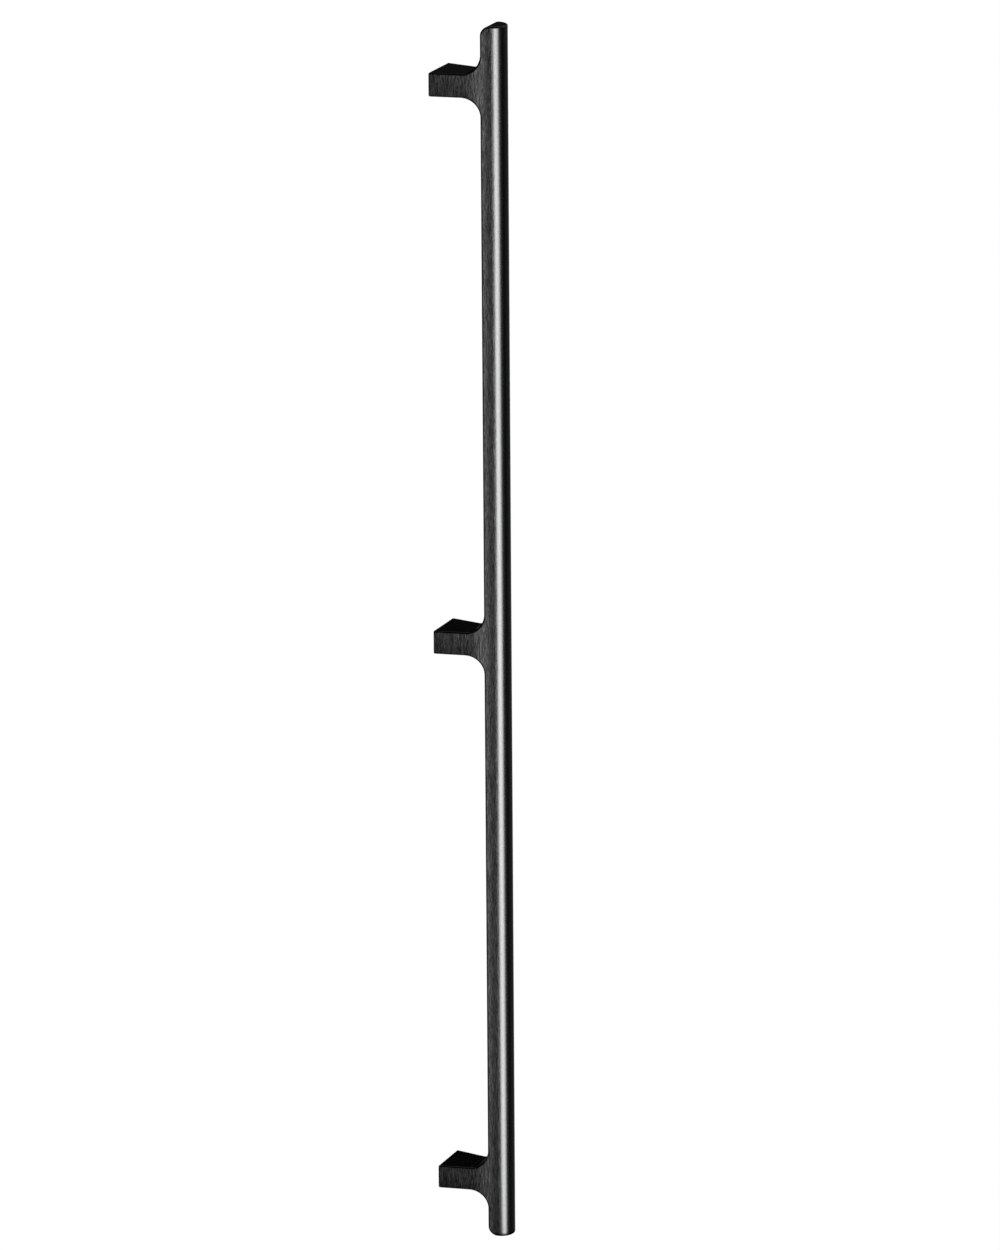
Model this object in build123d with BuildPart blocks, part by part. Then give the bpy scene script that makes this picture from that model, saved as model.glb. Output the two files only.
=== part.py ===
from build123d import *
import os

# A long door pull: a round-nosed bar carried on arms, all one casting, with a thread insert
# let into the foot of each arm.
# Frame: millimetres. The door's surface is the plane Y = 0 and the handle stands out towards -Y.
# +Z runs up the bar, and the origin is the centre of the middle arm's foot.

# Driving dimensions of the casting
arm_count = 3
arm_pitch = 542.5            # centre to centre of neighbouring arms
arm_height = 23.0            # along Z
arm_length = 48.4            # from the door to the back of the bar
arm_fillet = 18.5            # hollow corner between an arm and the back of the bar
foot_width = 48.0            # across an arm at the door
foot_round = 1.4             # softened edge round each foot
bar_overhang = 57.5          # from the last arm's centre to the end of the bar
bar_back_width = 30.0        # across the bar at its back
bar_depth = 21.6             # from the back of the bar to its nose
bar_end_round = 9.5          # rounded back corner at each end of the bar
edge_round = 1.8             # softened edges of the side faces and ends

# Driving dimensions of the thread inserts, M8 inside
insert_radius = 6.0
insert_length = 15.0
insert_sink = 0.5            # mouth of the insert below the face of the foot
insert_core_radius = 3.4     # wall of the thread's core
insert_countersink = 0.6     # lead-in at the mouth, where the thread starts
insert_nose_chamfer = 0.8    # lead on the end that goes in first
cutting_hole_radius = 1.2    # holes through the insert's wall that cut its thread as it goes in
cutting_hole_count = 3
cutting_hole_inset = 3.5     # from the inner end of the insert

# Clearances
insert_fit = 0.05            # insert to its pocket, on the radius
bolt_end_room = 10.0         # drilled on past the insert for the end of a long bolt
bolt_side_room = 0.8         # the same drilling, more than the core radius

# The side faces lean in from the foot to the back of the bar and run on straight to the nose
side_lean = (foot_width - bar_back_width) / 2 / arm_length
lean_cos = 1 / (1 + side_lean**2) ** 0.5
lean_sin = side_lean * lean_cos

# The nose is the circle that touches both side faces and reaches the bar's full depth
nose_centre_depth = (bar_depth - bar_back_width / 2 * lean_cos) / (1 - lean_sin)
nose_radius = bar_depth - nose_centre_depth
touch_x = nose_radius * lean_cos
touch_y = -arm_length - nose_centre_depth - nose_radius * lean_sin
projection = arm_length + bar_depth

# Places that follow from the dimensions
arm_heights = [(n - (arm_count - 1) / 2) * arm_pitch for n in range(arm_count)]
bar_length = arm_heights[-1] - arm_heights[0] + 2 * bar_overhang
bar_middle = (arm_heights[-1] + arm_heights[0]) / 2
pocket_depth = insert_sink + insert_length
cut_width = foot_width + bar_back_width      # wider than the casting anywhere
small = 0.01                                 # tolerance for picking edges by their place


def on_side_face(face):
    """True for the leaning faces that run from the feet to the nose."""
    return abs(abs(face.normal_at().X) - lean_cos) < small / 10


def is_sharp(edge):
    """True for a side face's edge, unless it lies on a foot or runs smoothly into the nose."""
    return abs(edge.center().Y) > small and abs(edge.center().Y - touch_y) > small


def at_arm_root(corner):
    """True for a corner of the side view where an arm meets the back of the bar."""
    on_back = abs(corner.X + arm_length) < small
    return on_back and any(abs(abs(corner.Y - z) - arm_height / 2) < small for z in arm_heights)


# Casting: the plan, drawn out to the height of the bar, and the side view cut from it
with BuildPart() as handle_body:
    with BuildSketch(Plane.XY.offset(bar_middle - bar_length / 2)):
        with BuildLine():
            Polyline(
                (-touch_x, touch_y),
                (-foot_width / 2, 0),
                (foot_width / 2, 0),
                (touch_x, touch_y),
            )
            ThreePointArc((-touch_x, touch_y), (0, -projection), (touch_x, touch_y))
        make_face()
    extrude(amount=bar_length)

    with BuildSketch(Plane.YZ.offset(-cut_width / 2)) as side_view:
        with Locations((-arm_length - bar_depth / 2, bar_middle)):
            Rectangle(bar_depth, bar_length)
        fillet(side_view.vertices().group_by(Axis.X)[-1], bar_end_round)
        with Locations([(-arm_length / 2, z) for z in arm_heights]):
            Rectangle(arm_length, arm_height)
        fillet(side_view.vertices().filter_by(at_arm_root), arm_fillet)
    extrude(amount=cut_width, mode=Mode.INTERSECT)

    # Softened edges, round the side faces, over the nose at both ends and round the feet
    side_edges = [e for f in handle_body.faces().filter_by(on_side_face) for e in f.edges()]
    nose_ends = handle_body.edges().filter_by(GeomType.CIRCLE)
    nose_ends = [e for e in nose_ends if abs(e.radius - nose_radius) < small]
    fillet([e for e in side_edges if is_sharp(e)] + nose_ends, edge_round)
    feet = handle_body.faces().group_by(Axis.Y)[-1]
    fillet(feet.edges(), foot_round)

    # Stepped hole in each foot: a pocket for the insert and a drilling for the bolt's end
    with Locations([Plane(origin=(0, 0, z), z_dir=(0, 1, 0)) for z in arm_heights]):
        CounterBoreHole(
            radius=insert_core_radius + bolt_side_room,
            counter_bore_radius=insert_radius + insert_fit,
            counter_bore_depth=pocket_depth,
            depth=pocket_depth + bolt_end_room,
        )

# Thread insert, along its own axis with the mouth at the top, then set into each foot
with BuildPart() as thread_insert:
    Cylinder(insert_radius, insert_length, align=(Align.CENTER, Align.CENTER, Align.MAX))
    chamfer(thread_insert.edges().group_by(Axis.Z)[0], insert_nose_chamfer)
    Hole(insert_core_radius)
    mouth_rim = thread_insert.edges().group_by(Axis.Z)[-1].sort_by(SortBy.RADIUS)[0]
    chamfer(mouth_rim, insert_countersink)
    with BuildSketch(Plane.XZ) as cutting_hole:
        with Locations((0, cutting_hole_inset - insert_length)):
            Circle(cutting_hole_radius)
    with PolarLocations(0, cutting_hole_count):
        extrude(cutting_hole.sketch, amount=2 * insert_radius, mode=Mode.SUBTRACT)

os.makedirs("parts", exist_ok=True)
handle_body.part.label = "handle_body"
export_step(handle_body.part, "parts/handle_body.step")

for n, z in enumerate(arm_heights, start=1):
    seat = Plane(origin=(0, -insert_sink, z), z_dir=(0, 1, 0))
    placed_insert = seat.location * thread_insert.part
    placed_insert.label = f"thread_insert_{n}"
    export_step(placed_insert, f"parts/thread_insert_{n}.step")

print(f"nose radius {nose_radius:.3f}, flat of the bar's side to {-touch_y:.3f} from the door")
print(f"overall height {bar_length:.1f}, projection {projection:.1f}")
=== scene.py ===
"""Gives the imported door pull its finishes, its threads, a plain studio and the camera."""
from math import cos, exp, pi, radians, sin

import bpy
from bpy.props import (
    FloatProperty,
    FloatVectorProperty,
    IntProperty,
    PointerProperty,
)
from mathutils import Matrix, Quaternion, Vector


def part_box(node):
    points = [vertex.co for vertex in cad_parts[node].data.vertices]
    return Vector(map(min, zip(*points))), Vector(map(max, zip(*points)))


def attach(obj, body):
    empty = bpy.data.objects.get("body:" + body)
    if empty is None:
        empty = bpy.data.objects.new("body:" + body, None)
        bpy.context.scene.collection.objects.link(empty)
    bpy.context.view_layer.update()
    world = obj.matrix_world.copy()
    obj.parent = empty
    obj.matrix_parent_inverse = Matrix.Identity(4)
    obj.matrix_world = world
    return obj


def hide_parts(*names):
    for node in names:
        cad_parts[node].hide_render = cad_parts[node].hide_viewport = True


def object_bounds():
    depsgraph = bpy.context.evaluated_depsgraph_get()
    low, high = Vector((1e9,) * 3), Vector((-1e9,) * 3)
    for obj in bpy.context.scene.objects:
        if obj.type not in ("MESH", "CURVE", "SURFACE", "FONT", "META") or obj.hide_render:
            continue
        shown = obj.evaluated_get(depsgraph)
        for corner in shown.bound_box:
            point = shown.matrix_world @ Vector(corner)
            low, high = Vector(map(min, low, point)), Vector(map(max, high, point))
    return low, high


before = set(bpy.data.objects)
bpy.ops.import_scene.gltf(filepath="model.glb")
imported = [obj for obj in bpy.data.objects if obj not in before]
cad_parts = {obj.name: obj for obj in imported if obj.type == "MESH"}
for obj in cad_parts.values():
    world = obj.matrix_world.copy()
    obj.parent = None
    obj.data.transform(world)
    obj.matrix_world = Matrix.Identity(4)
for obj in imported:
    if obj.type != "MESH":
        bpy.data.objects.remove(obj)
CAD_LOW, CAD_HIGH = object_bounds()

bl_info = {
    "name": "Long door pull",
    "version": (1, 0, 0),
    "blender": (4, 5, 0),
    "location": "3D View > Sidebar > Door pull",
    "description": "Dresses a long brushed door pull and sets it in a plain studio",
    "category": "Object",
}

BODY = "root"
CASTING = "handle_body"
INSERTS = sorted(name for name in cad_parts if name.startswith("thread_insert"))
INSERT_BOXES = [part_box(name) for name in INSERTS]
MM = 0.001

# The photograph's height and the camera's focal length in pixels, and the sensor's length in mm
PICTURE_HIGH = 1250
FOCAL_PIXELS = 7623.5
SENSOR = 36.0

# The camera was fitted with the arms 543 mm apart, and the part has them 542.5 mm apart
FITTED_SCALE = 542.5 / 543

# The holes in the feet, from the inserts that sit in them, a little wider and deeper than drilled
HOLE_CENTRES = [(low.z + high.z) / 2 for low, high in INSERT_BOXES]
FIRST_HOLE = HOLE_CENTRES[0]
HOLE_SPACING = (HOLE_CENTRES[-1] - HOLE_CENTRES[0]) / (len(HOLE_CENTRES) - 1)
INSERT_RADIUS = (INSERT_BOXES[0][1].z - INSERT_BOXES[0][0].z) / 2
HOLE_RADIUS = INSERT_RADIUS + 0.2 * MM
HOLE_REACH = 30.0 * MM

# How far the side faces look towards the nose, and half the height of an arm's side
SIDE_LEAN = 0.183
ARM_HALF = 11.5 * MM

# Each grain's width and length as shares of a broad line's, its detail and its swing
GRAINS = {
    "broad lines": (1.0, 1.0, 3.0, 2.8),
    "thin lines": (0.31, 0.3, 1.0, 2.2),
    "patches": (2.3, 1.2, 1.0, 0.8),
    "soft grain": (0.6, 0.2, 2.0, 0.42),
}
LINE_STARTS = 1000.0        # how far apart the lines start along their noise
NEIGHBOUR_SHARE = 0.2       # how much of the lines beside it comes off a line
DARKEST_LINE = 0.45         # share of the finish that the darkest line keeps
BAR_GRAIN = 0.62            # strength of the lines on the bar, with 1 on the arms
SOFT_RELIEF = 0.4           # relief of the soft grain, with 1 for the lines

# Places out from the door where the sides' grain and painted light and shade change, the far one
# first
GRAIN_PLACES = (-50.0 * MM, -36.0 * MM)
ARM_PLACES = (-30.0 * MM, -4.0 * MM)
BACK_PLACES = (-49.5 * MM, -34.0 * MM)
NOSE_PLACES = (-56.5 * MM, -50.0 * MM)
PAINTED_TOP_LIGHT_PLACES = (-47.0 * MM, -34.0 * MM)

# Painted light: shades of an arm's side at its lower and upper edge, lighter towards the top
PAINTED_TOP_LIGHT_SHADES = (0.78, 1.32)

# Heights where the painted light at the bar's upper end and the painted dark line round its lower end
# change
UPPER_END = (CAD_HIGH.z - 12.0 * MM, CAD_HIGH.z - 4.0 * MM)
LOWER_END = (CAD_LOW.z + 1.5 * MM, CAD_LOW.z + 4.5 * MM)
LOWER_END_SHADE = 0.15

# How squarely a surface faces one way, where it starts to count and where it counts in full
FACES_SIDEWAYS = (0.90, 0.98)
FACES_AWAY = (0.03, 0.16)
FACES_UP = (0.12, 0.3)
FACES_DOOR = (0.05, 0.25)
IS_END = (0.7, 0.95)
IS_FOOT = (0.95, 0.99)

# Light that glances off the edges, and the painted shade of less light off the hollow corners
EDGE_GLINT = 0.5
HOLLOW_GLINT = 0.2

# How far the grain and the cutter marks change the roughness, and how far a reflection is drawn out
GRAIN_ROUGHNESS = 0.03
MARK_ROUGHNESS = 0.08
DRAWN_OUT = 0.3

# A Mix node's inputs and output for colours, which share their names with those for numbers
FIRST_COLOUR, SECOND_COLOUR, MIXED_COLOUR = 6, 7, 2

# Brightness of the steel on a thread's crests and in its roots
CREST_SHADE, ROOT_SHADE = 1.18, 0.88

# The steel's turning marks and clouding: how far they change its brightness, and their sizes
RING_SWING, CLOUD_SWING = 0.35, 0.5
RING_DEPTH = 0.004 * MM
CLOUDS_PER_METRE = 0.4 / MM

# Roughness of the steel, and how far the clouding changes it
STEEL_ROUGHNESS = 0.3
CLOUD_ROUGHNESS = 0.25

# The inserts' mesh: rows in a turn of thread, points around, and sides of a cutting hole
ROWS_PER_TURN = 8
AROUND = 64
HOLE_SIDES = 24

# Points of the inserts' mesh that lie this near to each other become one
SEAM_GAP = 0.002 * MM

# Where a thread's flank starts and ends, from its crest to its root
FLANK = (0.2, 0.8)

# Folds sharper than this stay crisp
CRISP_FOLD = radians(35)

WHITE = (1.0, 1.0, 1.0, 1.0)

# Steps along a curved card, and corners of a round one
CARD_STEPS = 48
CARD_CORNERS = 64

# Strip lamps: how many, how far from the nose, between which heights and how far they lean
STRIPS = 11
STRIP_REACH = 5.0
STRIP_LOW, STRIP_HIGH = -3.1, 0.1
STRIP_LEAN = radians(24)

# Bearings of the strips: the middle one's to the right of the camera, and the gap between them
STRIP_ASIDE = radians(16.0)
STRIP_GAP = radians(4.5)

# Brightness of the middle strip, and how it falls away to the sides
STRIP_RADIANCE = 13.3
STRIP_SPREAD = radians(22.1)
STRIP_FALL = 2.6


class CastingFinish(bpy.types.PropertyGroup):
    """Black brushed finish of the bar and its arms."""

    nose_black: FloatVectorProperty(
        name="Nose",
        description="Colour of the finish on the round nose, of which other surfaces take a share",
        default=(0.0600, 0.0600, 0.0605),
        size=3,
        min=0.0,
        max=1.0,
        subtype="COLOR",
    )
    # Painted light and shade along the sides, by place
    side_shades: FloatVectorProperty(
        name="Side shades",
        description=(
            "Strength of the side's colour at the door, along the arm, at the bar's back "
            "and at the nose"
        ),
        default=(0.31, 0.40, 1.12, 0.49),
        size=4,
        min=0.0,
        soft_max=2.0,
    )
    # Painted shade on surfaces that face up, down or the door, and on the softened edges
    edge_shade: FloatProperty(
        name="Edge shade",
        description="Strength of the colour where a surface faces up, down or the door",
        default=0.3,
        min=0.0,
        soft_max=1.0,
    )
    # Painted light on the bar's upper end
    end_shade: FloatProperty(
        name="End shade",
        description="Strength of the colour on the upper end of the bar",
        default=0.7,
        min=0.0,
        soft_max=1.0,
    )
    bare_metal: FloatVectorProperty(
        name="Bare metal",
        description="Colour of the cast metal in the holes, which were drilled after the finish",
        default=(0.78, 0.78, 0.77),
        size=3,
        min=0.0,
        max=1.0,
        subtype="COLOR",
    )
    grain_width: FloatProperty(
        name="Grain width",
        description="Width of a brushed line, across the bar",
        default=0.9 * MM,
        min=0.05 * MM,
        precision=5,
        subtype="DISTANCE",
        unit="LENGTH",
    )
    grain_length: FloatProperty(
        name="Grain length",
        description="Length of a brushed line, up the bar",
        default=19.0 * MM,
        min=0.5 * MM,
        precision=5,
        subtype="DISTANCE",
        unit="LENGTH",
    )
    grain_contrast: FloatProperty(
        name="Grain contrast",
        description="How far a line is lighter or darker than the finish",
        default=1.7,
        min=0.0,
        soft_max=2.0,
    )
    mill_spacing: FloatProperty(
        name="Cutter mark spacing",
        description="From one cutter mark to the next on the back of a foot",
        default=0.9 * MM,
        min=0.1 * MM,
        precision=5,
        subtype="DISTANCE",
        unit="LENGTH",
    )
    mill_radius: FloatProperty(
        name="Cutter radius",
        description="Radius of the cutter marks on the back of a foot",
        default=40.0 * MM,
        min=5.0 * MM,
        precision=4,
        subtype="DISTANCE",
        unit="LENGTH",
    )
    mill_depth: FloatProperty(
        name="Cutter mark depth",
        description="Depth of the cutter marks on the back of a foot",
        default=0.006 * MM,
        min=0.0,
        precision=6,
        subtype="DISTANCE",
        unit="LENGTH",
    )
    grain_depth: FloatProperty(
        name="Grain depth",
        description="Depth of the brushed lines as relief",
        default=0.003 * MM,
        min=0.0,
        precision=6,
        subtype="DISTANCE",
        unit="LENGTH",
    )
    roughness: FloatProperty(
        name="Roughness",
        description="Roughness of the finish between the lines",
        default=0.24,
        min=0.0,
        max=1.0,
        subtype="FACTOR",
    )


class InsertSettings(bpy.types.PropertyGroup):
    """Thread inserts in the feet."""

    steel: FloatVectorProperty(
        name="Steel",
        description="Colour of the plated steel",
        default=(0.50, 0.47, 0.40),
        size=3,
        min=0.0,
        max=1.0,
        subtype="COLOR",
    )
    turning_mark: FloatProperty(
        name="Turning mark",
        description="Width of a mark left by turning",
        default=0.12 * MM,
        min=0.01 * MM,
        precision=5,
        subtype="DISTANCE",
        unit="LENGTH",
    )
    crest: FloatProperty(
        name="Inner crest",
        description="Radius to the crests of the bolt's thread",
        default=3.4 * MM,
        min=0.0,
        precision=4,
        subtype="DISTANCE",
        unit="LENGTH",
    )
    thread_depth: FloatProperty(
        name="Thread depth",
        description="Height of both threads, inside and out",
        default=0.65 * MM,
        min=0.0,
        precision=4,
        subtype="DISTANCE",
        unit="LENGTH",
    )
    inner_turns: IntProperty(
        name="Inner turns",
        description="Turns of the bolt's thread",
        default=12,
        min=1,
    )
    outer_turns: IntProperty(
        name="Outer turns",
        description="Turns of the thread that holds the insert in the foot",
        default=10,
        min=1,
    )
    countersink: FloatProperty(
        name="Countersink",
        description="Lead-in at the mouth",
        default=0.6 * MM,
        min=0.0,
        precision=4,
        subtype="DISTANCE",
        unit="LENGTH",
    )
    nose_chamfer: FloatProperty(
        name="Nose chamfer",
        description="Lead on the end that goes in first",
        default=0.8 * MM,
        min=0.0,
        precision=4,
        subtype="DISTANCE",
        unit="LENGTH",
    )
    hole_radius: FloatProperty(
        name="Cutting hole radius",
        description="Radius of the holes through the wall that cut the thread as the insert goes in",
        default=1.2 * MM,
        min=0.0,
        precision=4,
        subtype="DISTANCE",
        unit="LENGTH",
    )
    hole_inset: FloatProperty(
        name="Cutting hole inset",
        description="From the inner end of the insert to the holes' centres",
        default=3.5 * MM,
        min=0.0,
        precision=4,
        subtype="DISTANCE",
        unit="LENGTH",
    )
    holes: IntProperty(name="Cutting holes", description="Holes in each insert", default=3, min=1)


class Studio(bpy.types.PropertyGroup):
    """Floor under the handle."""

    floor_drop: FloatProperty(
        name="Floor drop",
        description="Height of the handle's lower end above the floor",
        default=2.35,
        min=0.0,
        subtype="DISTANCE",
        unit="LENGTH",
    )


class PhotoCamera(bpy.types.PropertyGroup):
    """Where the photograph was taken from, seen from the middle arm's foot."""

    turn: FloatProperty(
        name="Turn",
        description="Bearing of the camera from straight ahead of the handle, towards its left",
        default=radians(66.567),
        subtype="ANGLE",
        unit="ROTATION",
    )
    distance: FloatProperty(
        name="Distance",
        description="Level distance from the door's face to the camera",
        default=6.9724 * FITTED_SCALE,
        subtype="DISTANCE",
        unit="LENGTH",
    )
    height: FloatProperty(
        name="Height",
        description="Height of the camera above the middle arm",
        default=2.1018 * FITTED_SCALE,
        subtype="DISTANCE",
        unit="LENGTH",
    )
    yaw: FloatProperty(
        name="Yaw",
        description="Turn of the camera off the middle arm",
        default=radians(0.448),
        subtype="ANGLE",
        unit="ROTATION",
    )
    tilt: FloatProperty(
        name="Tilt",
        description="Angle at which the camera looks down",
        default=radians(16.698),
        subtype="ANGLE",
        unit="ROTATION",
    )
    roll: FloatProperty(
        name="Roll",
        description="Turn of the camera about its line of sight",
        default=radians(-0.385),
        subtype="ANGLE",
        unit="ROTATION",
    )
    lens: FloatProperty(
        name="Lens",
        description="Focal length on a sensor 36 mm long",
        default=FOCAL_PIXELS / PICTURE_HIGH * SENSOR,
        min=1.0,
        unit="CAMERA",
    )


def new_material(name):
    """An empty node material, with its node tree and output."""
    material = bpy.data.materials.new(name)
    material.use_nodes = True
    tree = material.node_tree
    tree.nodes.clear()
    return material, tree, tree.nodes.new("ShaderNodeOutputMaterial")


def add(tree, kind, inputs=(), **settings):
    """A new node with its settings and input values, or links where a value is a socket."""
    node = tree.nodes.new(kind)
    for key, value in settings.items():
        setattr(node, key, value)
    for key, value in dict(inputs).items():
        if isinstance(value, bpy.types.NodeSocket):
            tree.links.new(value, node.inputs[key])
        else:
            node.inputs[key].default_value = value
    return node


def calc(tree, operation, *values):
    """Result of a Math node on numbers and sockets."""
    return add(tree, "ShaderNodeMath", dict(enumerate(values)), operation=operation).outputs[0]


def between(tree, value, low, high, at_low=0.0, at_high=1.0, shape="SMOOTHSTEP"):
    """Value carried from one range to another, held at its ends."""
    return add(
        tree,
        "ShaderNodeMapRange",
        {"Value": value, "From Min": low, "From Max": high, "To Min": at_low, "To Max": at_high},
        interpolation_type=shape,
    ).outputs["Result"]


def streaks(tree, place, width, length, detail, label):
    """Noise drawn out up the bar, about one half."""
    stretched = add(
        tree,
        "ShaderNodeMapping",
        {"Vector": place, "Scale": (1 / width, 1 / width, 1 / length)},
        label=label,
    )
    return add(
        tree,
        "ShaderNodeTexNoise",
        {"Vector": stretched.outputs["Vector"], "Scale": 1.0, "Detail": detail, "Roughness": 0.6},
    ).outputs["Fac"]


def lines(tree, place, width, length, detail, label):
    """Upright lines of one width, each light and dark in its own places, about one half."""
    columns = add(
        tree,
        "ShaderNodeVectorMath",
        {0: place, 1: (1 / width, 1 / width, 0.0)},
        operation="MULTIPLY",
        label=label,
    )
    column = add(tree, "ShaderNodeVectorMath", {0: columns.outputs[0]}, operation="FLOOR")
    start = add(tree, "ShaderNodeTexWhiteNoise", {"Vector": column.outputs[0]}).outputs["Value"]
    height = add(tree, "ShaderNodeSeparateXYZ", {"Vector": place}).outputs["Z"]
    along = calc(tree, "MULTIPLY_ADD", start, LINE_STARTS, calc(tree, "DIVIDE", height, length))
    return add(
        tree,
        "ShaderNodeTexNoise",
        {"W": along, "Scale": 1.0, "Detail": detail, "Roughness": 0.65},
        noise_dimensions="1D",
    ).outputs["Fac"]


def crisp_lines(tree, place, width, length, detail, label):
    """Upright lines set off from the ones beside them, about one half."""
    middle = lines(tree, place, width, length, detail, label)
    around = None
    for step in (-width, width):
        beside = add(tree, "ShaderNodeVectorMath", {0: place, 1: (0.0, step, 0.0)}, operation="ADD")
        beside = lines(tree, beside.outputs[0], width, length, detail, label)
        around = beside if around is None else calc(tree, "ADD", around, beside)
    lift = calc(tree, "MULTIPLY", around, -NEIGHBOUR_SHARE)
    return calc(tree, "ADD", calc(tree, "ADD", middle, lift), NEIGHBOUR_SHARE)


def swing(tree, noise, reach):
    """Noise about one half turned into a swing about nothing."""
    return calc(tree, "MULTIPLY", calc(tree, "SUBTRACT", noise, 0.5), reach)


def mixed(tree, share, first, second):
    """First value carried to the second as the share goes from 0 to 1."""
    return add(
        tree,
        "ShaderNodeMix",
        {"Factor": share, "A": first, "B": second},
        data_type="FLOAT",
    ).outputs["Result"]


def from_hole(tree, place):
    """Distance from the axis of the nearest foot's hole, place seen along it, and height above it."""
    spot = add(tree, "ShaderNodeSeparateXYZ", {"Vector": place})
    up = calc(tree, "SUBTRACT", spot.outputs["Z"], FIRST_HOLE)
    nearest = calc(tree, "ROUND", calc(tree, "DIVIDE", up, HOLE_SPACING))
    up = calc(tree, "SUBTRACT", up, calc(tree, "MULTIPLY", nearest, HOLE_SPACING))
    flat = add(tree, "ShaderNodeCombineXYZ", {"X": spot.outputs["X"], "Z": up})
    away = add(tree, "ShaderNodeVectorMath", {0: flat.outputs[0]}, operation="LENGTH")
    return away.outputs["Value"], flat.outputs[0], up


def cutter_marks(tree, flat, look):
    """Arcs that the cutter left on the back of a foot, from 0 to 1."""
    # Their centre lies a cutter's radius away, above the hole and to one side
    centre = (0.6 * look.mill_radius, 0.0, 0.8 * look.mill_radius)
    away = add(tree, "ShaderNodeVectorMath", {0: flat, 1: centre}, operation="DISTANCE")
    turns = calc(tree, "MULTIPLY", away.outputs["Value"], 2 * pi / look.mill_spacing)
    return calc(tree, "MULTIPLY_ADD", calc(tree, "SINE", turns), 0.5, 0.5)


def at_door(tree, depth):
    """One within a hair of the door's face, and nothing further out."""
    return calc(tree, "GREATER_THAN", depth, -0.1 * MM)


def casting_grain(tree, place, depth, on_side, look):
    """Swing of the finish about nothing and its relief: crisp lines on the sides, soft elsewhere."""

    def grain(make, label):
        """Noise of one grain, and its swing about nothing."""
        width, length, detail, reach = GRAINS[label]
        width *= look.grain_width
        length *= look.grain_length
        noise = make(tree, place, width, length, detail, label)
        return noise, swing(tree, noise, reach)

    broad, broad_swing = grain(crisp_lines, "broad lines")
    soft, soft_swing = grain(streaks, "soft grain")
    side_swing = calc(tree, "ADD", broad_swing, grain(lines, "thin lines")[1])
    side_swing = calc(tree, "ADD", side_swing, grain(streaks, "patches")[1])
    strength = between(tree, depth, *GRAIN_PLACES, BAR_GRAIN, 1.0)
    side_swing = calc(tree, "MULTIPLY", side_swing, strength)
    relief = mixed(tree, on_side, calc(tree, "MULTIPLY", soft, SOFT_RELIEF), broad)
    return mixed(tree, on_side, soft_swing, side_swing), relief


def side_shade(tree, depth, above, look):
    """Painted light and shade on the side's colour: darkest by the door, lightest along the back of
    the bar.
    """
    by_door, on_arm, at_back, by_nose = look.side_shades
    shade = between(tree, depth, *ARM_PLACES, on_arm, by_door)
    rise = between(tree, depth, *BACK_PLACES, at_back - on_arm, 0.0)
    fall = between(tree, depth, *NOSE_PLACES, by_nose - at_back, 0.0)
    shade = calc(tree, "ADD", calc(tree, "ADD", shade, rise), fall)

    # Painted light: each arm's side is painted lighter towards its upper edge
    painted_top_light = between(tree, above, -ARM_HALF, ARM_HALF, *PAINTED_TOP_LIGHT_SHADES)
    painted_top_light = mixed(tree, between(tree, depth, *PAINTED_TOP_LIGHT_PLACES), 1.0, painted_top_light)
    return calc(tree, "MULTIPLY", shade, painted_top_light)


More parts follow.
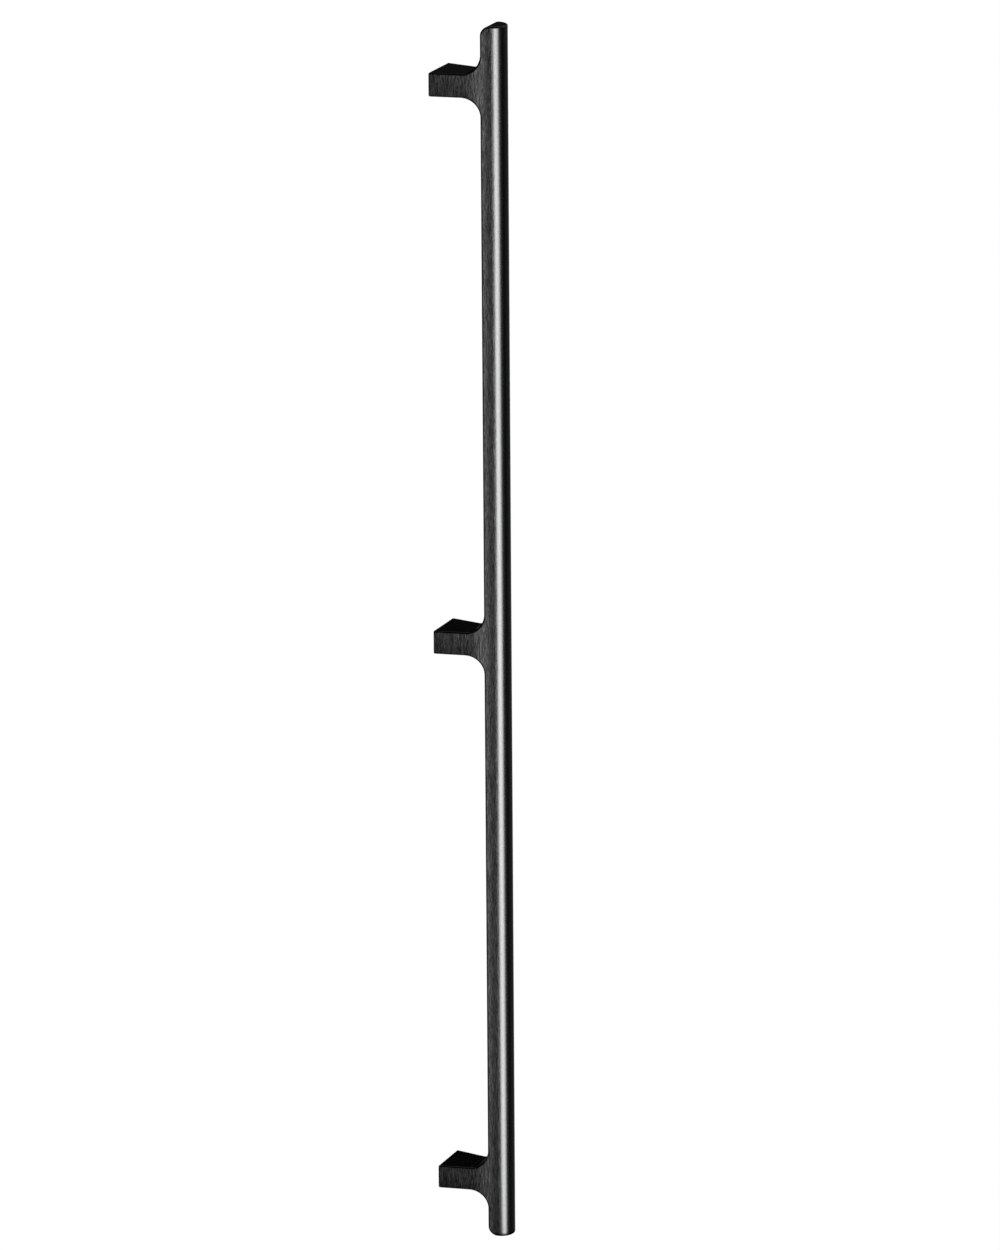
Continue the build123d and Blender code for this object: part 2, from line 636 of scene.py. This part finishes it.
def casting_material(look):
    """Black finish, brushed up and down the sides with a smoother grain on the nose, and painted
    light and shade on its sides, edges and ends.
    """
    material, tree, output = new_material("black_brushed")
    place = add(tree, "ShaderNodeTexCoord").outputs["Object"]
    spot = add(tree, "ShaderNodeSeparateXYZ", {"Vector": place}).outputs
    normal = add(tree, "ShaderNodeNewGeometry").outputs["Normal"]
    facing = add(tree, "ShaderNodeSeparateXYZ", {"Vector": normal}).outputs
    on_side = between(tree, calc(tree, "ABSOLUTE", facing["X"]), *FACES_SIDEWAYS)
    level = calc(tree, "ABSOLUTE", facing["Z"])
    away, flat, above = from_hole(tree, place)

    grain, height = casting_grain(tree, place, spot["Y"], on_side, look)
    gain = calc(tree, "MULTIPLY_ADD", grain, look.grain_contrast, 1.0)
    gain = calc(tree, "MAXIMUM", gain, DARKEST_LINE)

    # Painted shade darkens the colour where a surface turns away from the sides and the nose, less so
    # at the bar's upper end
    doorward = calc(tree, "ADD", facing["Y"], SIDE_LEAN)
    turned = between(tree, calc(tree, "MAXIMUM", level, doorward), *FACES_AWAY)
    edge = mixed(tree, between(tree, spot["Z"], *UPPER_END), look.edge_shade, look.end_shade)
    shade = mixed(tree, on_side, 1.0, side_shade(tree, spot["Y"], above, look))
    shade = mixed(tree, turned, shade, edge)

    # Painted shade: a dark line runs round the lowest few millimetres of the bar, but not over its
    # end face
    rim = between(tree, spot["Z"], *LOWER_END, LOWER_END_SHADE, 1.0)
    rim = mixed(tree, between(tree, level, *IS_END), rim, 1.0)
    shade = calc(tree, "MULTIPLY", shade, rim)
    black = add(
        tree,
        "ShaderNodeVectorMath",
        {0: look.nose_black, "Scale": calc(tree, "MULTIPLY", gain, shade)},
        operation="SCALE",
    ).outputs["Vector"]

    # Painted shade: less light glances off the hollow corners
    in_hollow = between(tree, level, *FACES_UP)
    in_hollow = calc(tree, "MULTIPLY", in_hollow, between(tree, facing["Y"], *FACES_DOOR))
    glint = mixed(tree, in_hollow, EDGE_GLINT, HOLLOW_GLINT)

    # Bare metal in the drilled holes, and cutter marks on the backs of the feet
    in_hole = calc(tree, "LESS_THAN", away, HOLE_RADIUS)
    in_hole = calc(tree, "MULTIPLY", in_hole, calc(tree, "GREATER_THAN", spot["Y"], -HOLE_REACH))
    colour = add(
        tree,
        "ShaderNodeMix",
        {"Factor": in_hole, FIRST_COLOUR: black, SECOND_COLOUR: (*look.bare_metal, 1.0)},
        data_type="RGBA",
    ).outputs[MIXED_COLOUR]
    on_foot = between(tree, facing["Y"], *IS_FOOT)
    on_foot = calc(tree, "MULTIPLY", on_foot, at_door(tree, spot["Y"]))
    marks = calc(tree, "MULTIPLY", cutter_marks(tree, flat, look), on_foot)

    # Lying across the brushed lines, also where a face looks straight up
    across = add(
        tree,
        "ShaderNodeVectorMath",
        {0: normal, 1: (0.05, 0.03, 1.0)},
        operation="CROSS_PRODUCT",
    ).outputs["Vector"]
    height = calc(tree, "MULTIPLY_ADD", marks, look.mill_depth / look.grain_depth, height)
    relief = add(
        tree,
        "ShaderNodeBump",
        {"Strength": 1.0, "Distance": look.grain_depth, "Height": height},
    ).outputs["Normal"]
    roughness = calc(tree, "MULTIPLY_ADD", grain, GRAIN_ROUGHNESS, look.roughness)
    roughness = calc(tree, "MULTIPLY_ADD", marks, MARK_ROUGHNESS, roughness)
    shader = add(
        tree,
        "ShaderNodeBsdfPrincipled",
        {
            "Base Color": colour,
            "Metallic": 1.0,
            "Roughness": roughness,
            "Specular Tint": glint,
            "Anisotropic": DRAWN_OUT,
            "Tangent": across,
            "Normal": relief,
        },
    )
    tree.links.new(shader.outputs[0], output.inputs["Surface"])
    return material


def insert_material(look):
    """Plated steel with turning marks, brighter along the crests and darker in the roots."""
    material, tree, output = new_material("insert_steel")
    place = add(tree, "ShaderNodeTexCoord").outputs["Object"]
    depth = add(tree, "ShaderNodeSeparateXYZ", {"Vector": place}).outputs["Y"]
    away = from_hole(tree, place)[0]
    along = calc(tree, "DIVIDE", calc(tree, "ADD", depth, away), look.turning_mark)
    rings = add(
        tree,
        "ShaderNodeTexNoise",
        {"W": along, "Scale": 1.0, "Detail": 2.0},
        noise_dimensions="1D",
    ).outputs["Fac"]
    cloud = add(
        tree,
        "ShaderNodeTexNoise",
        {"Vector": place, "Scale": CLOUDS_PER_METRE, "Detail": 3.0, "Roughness": 0.6},
    ).outputs["Fac"]

    # The crests are brighter and the roots darker, inside and out
    inner_root = look.crest + look.thread_depth
    outer_root = INSERT_RADIUS - look.thread_depth
    inner = between(tree, away, look.crest, inner_root, CREST_SHADE, ROOT_SHADE)
    outer = between(tree, away, outer_root, INSERT_RADIUS, ROOT_SHADE, CREST_SHADE)
    crests_and_roots = calc(tree, "MAXIMUM", inner, outer)
    gain = calc(tree, "ADD", swing(tree, rings, RING_SWING), swing(tree, cloud, CLOUD_SWING))
    gain = calc(tree, "MULTIPLY", calc(tree, "ADD", gain, 1.0), crests_and_roots)
    colour = add(
        tree,
        "ShaderNodeVectorMath",
        {0: look.steel, "Scale": gain},
        operation="SCALE",
    ).outputs["Vector"]
    relief = add(
        tree,
        "ShaderNodeBump",
        {"Strength": 1.0, "Distance": RING_DEPTH, "Height": rings},
    ).outputs["Normal"]
    roughness = calc(tree, "ADD", swing(tree, cloud, CLOUD_ROUGHNESS), STEEL_ROUGHNESS)
    shader = add(
        tree,
        "ShaderNodeBsdfPrincipled",
        {"Base Color": colour, "Metallic": 1.0, "Roughness": roughness, "Normal": relief},
    )
    tree.links.new(shader.outputs[0], output.inputs["Surface"])
    return material


def eye_share(tree, share):
    """Share that is plain white, for the camera, for reflections and through glass."""
    path = add(tree, "ShaderNodeLightPath")
    seen = path.outputs["Is Camera Ray"]
    for name in ("Is Glossy Ray", "Is Transmission Ray"):
        seen = calc(tree, "MAXIMUM", seen, path.outputs[name])
    return calc(tree, "MULTIPLY", seen, share)


def floor_material():
    """Pale floor that reads as white and still takes a soft shadow."""
    material, tree, output = new_material("floor_white")
    lit = add(tree, "ShaderNodeBsdfDiffuse", {"Color": (0.9, 0.9, 0.9, 1.0)})
    plain = add(tree, "ShaderNodeEmission", {"Color": WHITE, "Strength": 1.015})
    mix = add(
        tree,
        "ShaderNodeMixShader",
        {0: eye_share(tree, 0.9), 1: lit.outputs[0], 2: plain.outputs[0]},
    )
    tree.links.new(mix.outputs[0], output.inputs["Surface"])
    return material


def card_material(level):
    """Plain grey of a given brightness, which lights nothing and shows only in reflections."""
    material, tree, output = new_material("card_black")
    glow = add(tree, "ShaderNodeEmission", {"Color": WHITE, "Strength": level})
    tree.links.new(glow.outputs[0], output.inputs["Surface"])
    material.cycles.emission_sampling = "NONE"
    return material


def only_in_reflections(obj):
    """Hides a card or a lamp from everything but reflections."""
    obj.visible_camera = False
    obj.visible_diffuse = False
    obj.visible_transmission = False
    obj.visible_volume_scatter = False
    obj.visible_shadow = False


def mesh_object(name, vertices, faces, material):
    """A plain mesh object linked to the scene."""
    mesh = bpy.data.meshes.new(name)
    mesh.from_pydata([tuple(v) for v in vertices], [], faces)
    mesh.materials.append(material)
    mesh.update()
    obj = bpy.data.objects.new(name, mesh)
    bpy.context.scene.collection.objects.link(obj)
    return obj


def bearing(angle):
    """Unit vector at a bearing from straight ahead of the handle, towards its left."""
    return Vector((-sin(angle), -cos(angle), 0.0))


class PULL_OT_casting(bpy.types.Operator):
    """Gives the bar and its arms their black brushed finish"""

    bl_idname = "pull.casting"
    bl_label = "Finish the casting"

    def execute(self, context):
        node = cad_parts[CASTING]
        material = casting_material(context.scene.pull_casting)
        for place in node.material_slots:
            place.material = material
        return {"FINISHED"}


def insert_tree():
    """Node tree of threaded tubes set in a column, with cutting holes through their walls."""
    tree = bpy.data.node_groups.new("thread_inserts", "GeometryNodeTree")
    tree.is_modifier = True
    for name, kind in (
        ("Length", "Float"),
        ("Outer radius", "Float"),
        ("Crest", "Float"),
        ("Thread depth", "Float"),
        ("Inner turns", "Int"),
        ("Outer turns", "Int"),
        ("Countersink", "Float"),
        ("Nose chamfer", "Float"),
        ("Hole radius", "Float"),
        ("Hole inset", "Float"),
        ("Holes", "Int"),
        ("Count", "Int"),
        ("First place", "Vector"),
        ("Spacing", "Float"),
        ("Material", "Material"),
    ):
        tree.interface.new_socket(name, in_out="INPUT", socket_type=f"NodeSocket{kind}")
    tree.interface.new_socket("Geometry", in_out="OUTPUT", socket_type="NodeSocketGeometry")
    given = tree.nodes.new("NodeGroupInput").outputs
    output = tree.nodes.new("NodeGroupOutput")

    def do(operation, *values):
        return calc(tree, operation, *values)

    # A sheet whose rows run up the bore, over the inner end, back outside and over the mouth
    length = given["Length"]
    inner_rows = do("MULTIPLY", do("ADD", given["Inner turns"], 1.0), float(ROWS_PER_TURN))
    outer_rows = do("MULTIPLY", do("ADD", given["Outer turns"], 1.0), float(ROWS_PER_TURN))
    first_outer = do("ADD", inner_rows, 1.0)
    last_row = do("ADD", do("ADD", first_outer, outer_rows), 1.0)
    sheet = add(
        tree,
        "GeometryNodeMeshGrid",
        {
            "Size X": 1.0,
            "Size Y": last_row,
            "Vertices X": AROUND + 1,
            "Vertices Y": do("ADD", last_row, 1.0),
        },
    )
    position = add(tree, "GeometryNodeInputPosition").outputs[0]
    place = add(tree, "ShaderNodeSeparateXYZ", {"Vector": position})
    turn = do("ADD", place.outputs["X"], 0.5)
    row = do("ROUND", do("ADD", place.outputs["Y"], do("MULTIPLY", last_row, 0.5)))
    outside = do("GREATER_THAN", row, do("ADD", inner_rows, 0.5))
    closing = do("GREATER_THAN", row, do("SUBTRACT", last_row, 0.5))
    outside = do("SUBTRACT", outside, closing)

    def thread(turns, rows, row_here):
        """Depth below the mouth and height of the thread's ridge at a row of the sheet."""
        pitch = do("DIVIDE", length, turns)
        share = do("DIVIDE", row_here, rows)
        raw = do("MULTIPLY", share, do("ADD", length, pitch))
        raw = do("ADD", do("SUBTRACT", raw, pitch), do("MULTIPLY", pitch, turn))
        depth = do("MINIMUM", do("MAXIMUM", raw, 0.0), length)
        phase = do("FRACT", do("ADD", do("SUBTRACT", do("DIVIDE", depth, pitch), turn), 1.0))
        from_crest = do("MULTIPLY", do("ABSOLUTE", do("SUBTRACT", phase, 0.5)), 2.0)
        return depth, between(tree, from_crest, *FLANK, 1.0, 0.0, "LINEAR")

    inner_row = do("MULTIPLY", row, do("SUBTRACT", 1.0, closing))
    inner_depth, inner_ridge = thread(given["Inner turns"], inner_rows, inner_row)
    outer_row = do("SUBTRACT", outer_rows, do("SUBTRACT", row, first_outer))
    outer_depth, outer_ridge = thread(given["Outer turns"], outer_rows, outer_row)

    root = do("ADD", given["Crest"], given["Thread depth"])
    bore = do("SUBTRACT", root, do("MULTIPLY", given["Thread depth"], inner_ridge))
    lead_in = do("SUBTRACT", do("ADD", given["Crest"], given["Countersink"]), inner_depth)
    bore = do("MAXIMUM", bore, lead_in)
    groove = do("MULTIPLY", given["Thread depth"], do("SUBTRACT", 1.0, outer_ridge))
    wall = do("SUBTRACT", given["Outer radius"], groove)
    nose = do("SUBTRACT", given["Outer radius"], given["Nose chamfer"])
    wall = do("MINIMUM", wall, do("ADD", nose, do("SUBTRACT", length, outer_depth)))

    radius = mixed(tree, outside, bore, wall)
    depth = mixed(tree, outside, inner_depth, outer_depth)
    angle = do("MULTIPLY", turn, 2 * pi)
    curled = add(
        tree,
        "ShaderNodeCombineXYZ",
        {
            "X": do("MULTIPLY", radius, do("COSINE", angle)),
            "Y": do("MULTIPLY", depth, -1.0),
            "Z": do("MULTIPLY", radius, do("SINE", angle)),
        },
    )
    tube = add(
        tree,
        "GeometryNodeSetPosition",
        {"Geometry": sheet.outputs["Mesh"], "Position": curled.outputs[0]},
    )
    tube = add(
        tree,
        "GeometryNodeMergeByDistance",
        {"Geometry": tube.outputs[0], "Distance": SEAM_GAP},
    )

    # Cutting holes, spread around the tube near its inner end, each from inside the bore to outside
    middle_radius = do("MULTIPLY", given["Outer radius"], 0.9)
    drill_length = do("MULTIPLY", given["Outer radius"], 1.2)
    circle = add(
        tree,
        "GeometryNodeMeshCircle",
        {"Vertices": given["Holes"], "Radius": middle_radius},
    )
    inward = add(
        tree,
        "ShaderNodeCombineXYZ",
        {"Y": do("SUBTRACT", given["Hole inset"], length)},
    )
    circle = add(
        tree,
        "GeometryNodeTransform",
        {
            "Geometry": circle.outputs[0],
            "Rotation": (pi / 2, 0.0, 0.0),
            "Translation": inward.outputs[0],
        },
    )
    drill = add(
        tree,
        "GeometryNodeMeshCylinder",
        {"Vertices": HOLE_SIDES, "Radius": given["Hole radius"], "Depth": drill_length},
    )
    spot = add(tree, "ShaderNodeSeparateXYZ", {"Vector": position})
    outward = add(tree, "ShaderNodeCombineXYZ", {"X": spot.outputs["X"], "Z": spot.outputs["Z"]})
    aimed = add(tree, "FunctionNodeAlignRotationToVector", {"Vector": outward.outputs[0]}, axis="Z")
    drills = add(
        tree,
        "GeometryNodeInstanceOnPoints",
        {
            "Points": circle.outputs[0],
            "Instance": drill.outputs["Mesh"],
            "Rotation": aimed.outputs[0],
        },
    )
    drills = add(tree, "GeometryNodeRealizeInstances", {"Geometry": drills.outputs[0]})
    cut = tree.nodes.new("GeometryNodeMeshBoolean")
    cut.operation = "DIFFERENCE"
    cut.solver = "EXACT"
    tree.links.new(tube.outputs[0], cut.inputs["Mesh 1"])
    tree.links.new(drills.outputs[0], cut.inputs["Mesh 2"])

    # Rounded shading, but crisp edges
    smooth = add(tree, "GeometryNodeSetShadeSmooth", {"Geometry": cut.outputs["Mesh"]}, domain="FACE")
    fold = add(tree, "GeometryNodeInputMeshEdgeAngle").outputs["Unsigned Angle"]
    smooth = add(
        tree,
        "GeometryNodeSetShadeSmooth",
        {
            "Geometry": smooth.outputs[0],
            "Selection": do("GREATER_THAN", fold, CRISP_FOLD),
            "Shade Smooth": False,
        },
        domain="EDGE",
    )

    # One insert in each foot
    step = add(tree, "ShaderNodeCombineXYZ", {"Z": given["Spacing"]})
    feet = add(
        tree,
        "GeometryNodeMeshLine",
        {
            "Count": given["Count"],
            "Start Location": given["First place"],
            "Offset": step.outputs[0],
        },
        mode="OFFSET",
    )
    placed = add(
        tree,
        "GeometryNodeInstanceOnPoints",
        {"Points": feet.outputs[0], "Instance": smooth.outputs[0]},
    )
    real = add(tree, "GeometryNodeRealizeInstances", {"Geometry": placed.outputs[0]})
    dressed = add(
        tree,
        "GeometryNodeSetMaterial",
        {"Geometry": real.outputs[0], "Material": given["Material"]},
    )
    tree.links.new(dressed.outputs[0], output.inputs["Geometry"])
    return tree


def grown_mesh(name, tree, values):
    """A plain mesh object made from a node tree with the given inputs."""
    start = bpy.data.objects.new(name, bpy.data.meshes.new(name))
    bpy.context.scene.collection.objects.link(start)
    modifier = start.modifiers.new(name, "NODES")
    modifier.node_group = tree
    for item in tree.interface.items_tree:
        if item.in_out == "INPUT":
            modifier[item.identifier] = values[item.name]
    depsgraph = bpy.context.evaluated_depsgraph_get()
    mesh = bpy.data.meshes.new_from_object(start.evaluated_get(depsgraph))
    start.modifiers.remove(modifier)
    start.data = mesh
    mesh.name = name
    if not mesh.polygons:
        raise RuntimeError(f"{name}: the node tree made no faces")
    return start


class PULL_OT_inserts(bpy.types.Operator):
    """Makes the thread inserts in the feet"""

    bl_idname = "pull.inserts"
    bl_label = "Make the inserts"

    def execute(self, context):
        look = context.scene.pull_inserts
        low, high = INSERT_BOXES[0]
        first = (low + high) / 2
        first.y = high.y
        piece = grown_mesh(
            "thread_insert_set",
            insert_tree(),
            {
                "Length": high.y - low.y,
                "Outer radius": INSERT_RADIUS,
                "Crest": look.crest,
                "Thread depth": look.thread_depth,
                "Inner turns": look.inner_turns,
                "Outer turns": look.outer_turns,
                "Countersink": look.countersink,
                "Nose chamfer": look.nose_chamfer,
                "Hole radius": look.hole_radius,
                "Hole inset": look.hole_inset,
                "Holes": look.holes,
                "Count": len(INSERTS),
                "First place": first,
                "Spacing": HOLE_SPACING,
                "Material": insert_material(look),
            },
        )
        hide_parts(*INSERTS)
        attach(piece, BODY)
        return {"FINISHED"}


def strip_lamp(name, place, aim, size, lean, radiance):
    """Strip lamp of a given brightness, leant sideways, that only reflections see."""
    data = bpy.data.lights.new(name, "AREA")
    data.shape = "RECTANGLE"
    data.size, data.size_y = size
    data.energy = radiance * pi * size[0] * size[1]
    lamp = bpy.data.objects.new(name, data)
    bpy.context.scene.collection.objects.link(lamp)
    lamp.location = place
    upright = (aim - place).to_track_quat("-Z", "Y")
    lamp.rotation_euler = (upright @ Quaternion((0.0, 0.0, 1.0), lean)).to_euler()
    only_in_reflections(lamp)


def curved_card(name, centre, first, last, near, far, material):
    """Card bent round the handle between two bearings and two rims, each a radius and a height."""
    points = []
    for n in range(CARD_STEPS + 1):
        outward = bearing(first + (last - first) * n / CARD_STEPS)
        for radius, height in (near, far):
            at = centre + outward * radius
            points.append((at.x, at.y, height))
    faces = [(2 * n, 2 * n + 1, 2 * n + 3, 2 * n + 2) for n in range(CARD_STEPS)]
    card = mesh_object(name, points, faces, material)
    only_in_reflections(card)


def flat_card(name, centre, radius, material):
    """Round card that lies level."""
    rim = [centre + bearing(2 * pi * n / CARD_CORNERS) * radius for n in range(CARD_CORNERS)]
    card = mesh_object(name, rim, [tuple(range(CARD_CORNERS))], material)
    only_in_reflections(card)


class PULL_OT_studio(bpy.types.Operator):
    """Sets up the floor, the cards, the lamps and the world"""

    bl_idname = "pull.studio"
    bl_label = "Set up the studio"

    def execute(self, context):
        studio = context.scene.pull_studio
        camera = context.scene.pull_camera
        floor_z = CAD_LOW.z - studio.floor_drop
        half = 60.0
        corners = [(-half, -half), (half, -half), (half, half), (-half, half)]
        corners = [(x, y, floor_z) for x, y in corners]
        floor = mesh_object("floor", corners, [(0, 1, 2, 3)], floor_material())

        # Level cards: over the floor, aside under the handle's low end, and overhead
        turn = camera.turn
        nose = Vector((0.0, CAD_LOW.y, 0.0))
        dark = card_material(0.011)
        dim = card_material(0.058)
        under_radius, under_height = 4.2, floor_z + 0.05
        flat_card("card_under", nose + Vector((0, 0, under_height)), under_radius, dark)
        close = bearing(turn + radians(48)) * 0.45 + Vector((0, 0, CAD_LOW.z - 0.25))
        flat_card("card_close", nose + close, 0.56, card_material(0.45))
        over = bearing(turn) * 5.7 + Vector((0, 0, 1.9))
        flat_card("card_over", nose + over, 6.0, dim)

        # Curved cards, from one bearing to the next in degrees to the right of the camera
        ring, side_top = 5.4, 2.0
        low_rim, high_rim = (ring, floor_z), (ring, side_top)
        under_rim, outer_rim = (under_radius, under_height), (ring, under_height)
        for name, first, last, near, far, shade in (
            ("card_right", 38, 88, low_rim, high_rim, dark),
            ("card_side_1", 88, 108, low_rim, high_rim, card_material(0.12)),
            ("card_side_2", 108, 128, low_rim, high_rim, card_material(0.23)),
            ("card_side_3", 128, 152, low_rim, high_rim, card_material(0.42)),
            ("card_behind", 152, 326, (ring, -0.15), (ring, 5.6), dim),
            ("card_under_right", 38, 152, under_rim, outer_rim, dark),
        ):
            curved_card(name, nose, turn - radians(first), turn - radians(last), near, far, shade)

        # Strip lamps in front, brightest in the middle
        aim = nose + Vector((0, 0, (STRIP_LOW + STRIP_HIGH) / 2))
        size = (STRIP_REACH * STRIP_GAP * cos(STRIP_LEAN), STRIP_HIGH - STRIP_LOW)
        for n in range(STRIPS):
            off = (n - (STRIPS - 1) / 2) * STRIP_GAP
            place = aim + bearing(turn - STRIP_ASIDE - off) * STRIP_REACH
            radiance = STRIP_RADIANCE * exp(-(abs(off / STRIP_SPREAD) ** STRIP_FALL))
            strip_lamp(f"strip_{n + 1}", place, aim, size, STRIP_LEAN, radiance)

        sun = bpy.data.lights.new("soft_key", "SUN")
        sun.energy = 1.4
        sun.angle = radians(40)
        key = bpy.data.objects.new("soft_key", sun)
        context.scene.collection.objects.link(key)
        key.rotation_euler = (radians(35), 0.0, radians(-30))
        key.visible_glossy = False

        world = bpy.data.worlds.new("studio")
        context.scene.world = world
        world.use_nodes = True
        tree = world.node_tree
        tree.nodes.clear()
        output = add(tree, "ShaderNodeOutputWorld")
        soft = add(tree, "ShaderNodeBackground", {"Color": WHITE, "Strength": 0.65})
        plain = add(tree, "ShaderNodeBackground", {"Color": WHITE, "Strength": 1.0})
        mix = add(
            tree,
            "ShaderNodeMixShader",
            {0: eye_share(tree, 1.0), 1: soft.outputs[0], 2: plain.outputs[0]},
        )
        tree.links.new(mix.outputs[0], output.inputs["Surface"])
        context.scene.view_settings.view_transform = "Standard"
        return {"FINISHED"}


class PULL_OT_camera(bpy.types.Operator):
    """Stands the camera where the photograph was taken from"""

    bl_idname = "pull.camera"
    bl_label = "Place the camera"

    def execute(self, context):
        view = context.scene.pull_camera
        data = bpy.data.cameras.new("photo_camera")
        data.sensor_fit = "AUTO"
        data.sensor_width = SENSOR
        data.lens = view.lens
        data.clip_start = 0.1
        data.clip_end = 500.0
        camera = bpy.data.objects.new("photo_camera", data)
        context.scene.collection.objects.link(camera)
        place = bearing(view.turn) * view.distance + Vector((0, 0, view.height))
        ahead = -bearing(view.turn + view.yaw) * cos(view.tilt)
        ahead -= Vector((0, 0, sin(view.tilt)))
        right = ahead.cross(Vector((0, 0, 1))).normalized()
        up = right.cross(ahead)
        rolled_right = cos(view.roll) * right + sin(view.roll) * up
        rolled_up = cos(view.roll) * up - sin(view.roll) * right
        turned = Matrix((rolled_right, rolled_up, -ahead)).transposed()
        camera.matrix_world = Matrix.Translation(place) @ turned.to_4x4()
        context.scene.camera = camera
        return {"FINISHED"}


STEPS = (PULL_OT_casting, PULL_OT_inserts, PULL_OT_studio, PULL_OT_camera)
SETTINGS = {
    "pull_casting": CastingFinish,
    "pull_inserts": InsertSettings,
    "pull_studio": Studio,
    "pull_camera": PhotoCamera,
}


class PULL_PT_panel(bpy.types.Panel):
    """Lists the steps and their settings"""

    bl_idname = "PULL_PT_panel"
    bl_label = "Door pull"
    bl_space_type = "VIEW_3D"
    bl_region_type = "UI"
    bl_category = "Door pull"

    def draw(self, context):
        for step, group in zip(STEPS, SETTINGS):
            column = self.layout.column(align=True)
            column.operator(step.bl_idname)
            settings = getattr(context.scene, group)
            for name in settings.bl_rna.properties.keys():
                if name not in ("rna_type", "name"):
                    column.prop(settings, name)


def register():
    """Adds the settings, the steps and the panel."""
    for group in SETTINGS.values():
        bpy.utils.register_class(group)
    for name, group in SETTINGS.items():
        setattr(bpy.types.Scene, name, PointerProperty(type=group))
    for step in STEPS:
        bpy.utils.register_class(step)
    bpy.utils.register_class(PULL_PT_panel)


def unregister():
    """Takes the panel, the steps and the settings away again."""
    bpy.utils.unregister_class(PULL_PT_panel)
    for step in reversed(STEPS):
        bpy.utils.unregister_class(step)
    for name, group in SETTINGS.items():
        delattr(bpy.types.Scene, name)
        bpy.utils.unregister_class(group)


def main():
    """Registers the add-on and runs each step."""
    register()
    bpy.ops.pull.casting()
    bpy.ops.pull.inserts()
    bpy.ops.pull.studio()
    bpy.ops.pull.camera()


if __name__ == "__main__":
    main()
